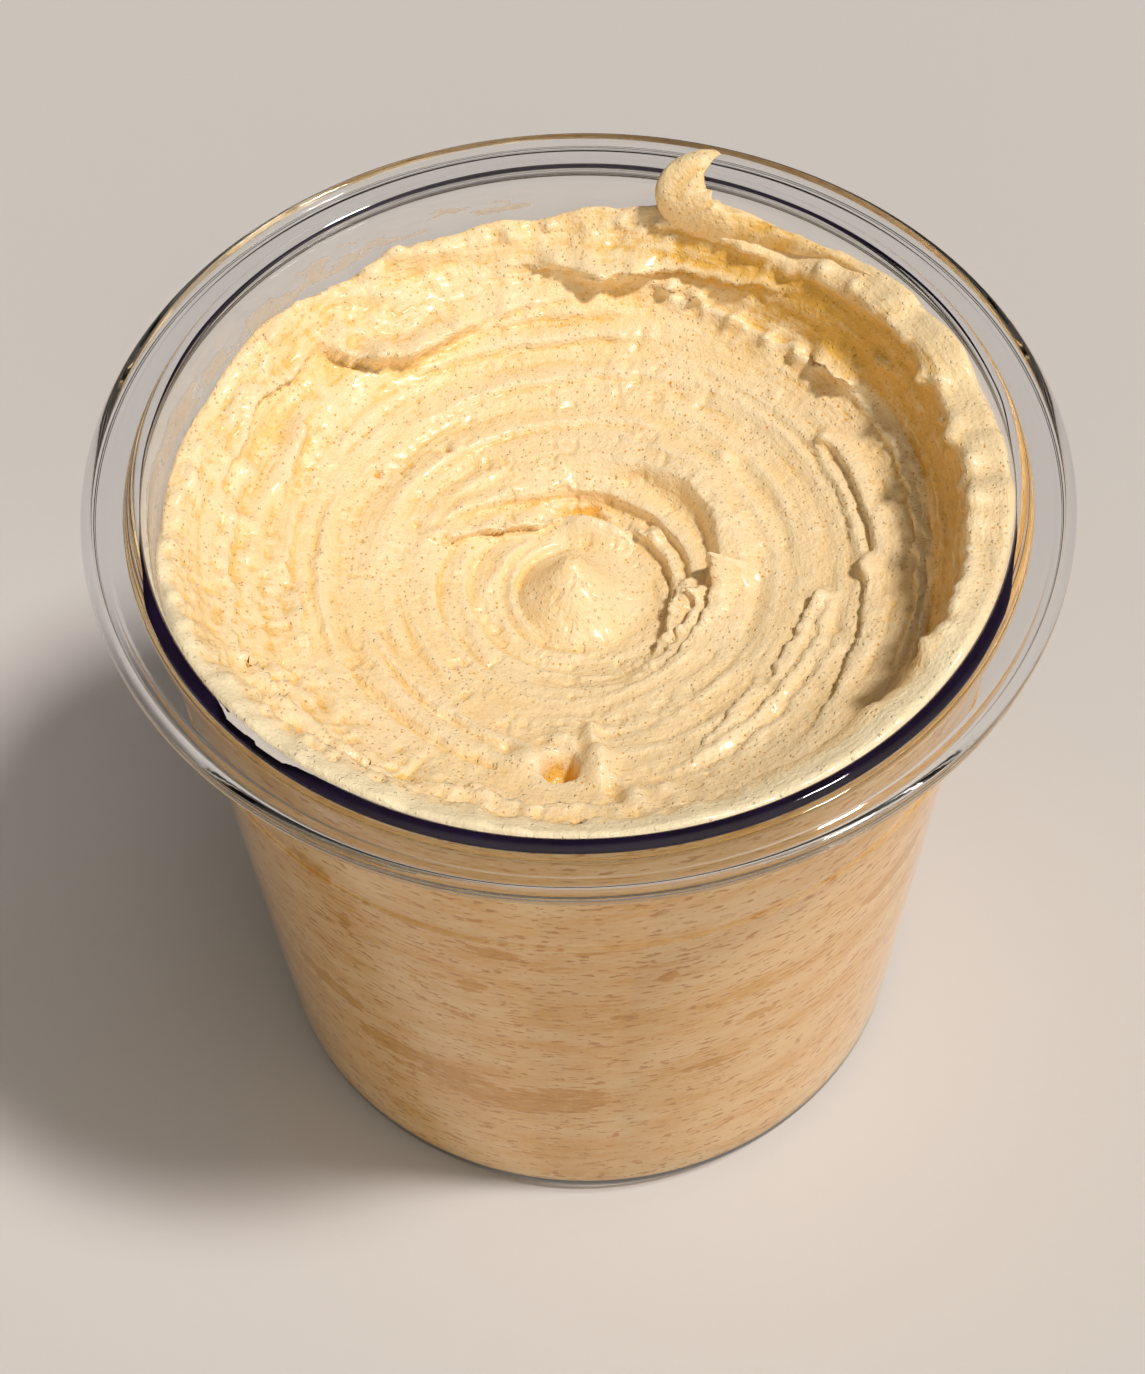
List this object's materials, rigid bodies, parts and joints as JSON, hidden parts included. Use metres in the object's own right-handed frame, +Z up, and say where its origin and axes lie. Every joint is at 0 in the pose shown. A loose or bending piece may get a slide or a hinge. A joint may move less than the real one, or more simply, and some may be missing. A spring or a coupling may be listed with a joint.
{
  "type": "ice cream pint",
  "caption": "Clear round plastic tub with a thin flanged rim, full of pale custard ice cream with a swirled, bowl-shaped top that climbs the wall on one side.",
  "frame": {"origin": "centre of the tub's flat base, on the surface that it stands on", "axes": "+Z up along the tub's axis, +Y towards the back, where the tongue of ice cream laps over the rim, +X to the right"},
  "size_m": [0.12, 0.12, 0.1074],
  "materials": {
    "clear_plastic": "clear, glossy, moulded",
    "custard_ice_cream": "soft, slightly wet, churned"
  },
  "bodies": {
    "root": {"tub": "clear_plastic", "ice_cream": "custard_ice_cream"}
  },
  "joints": []
}
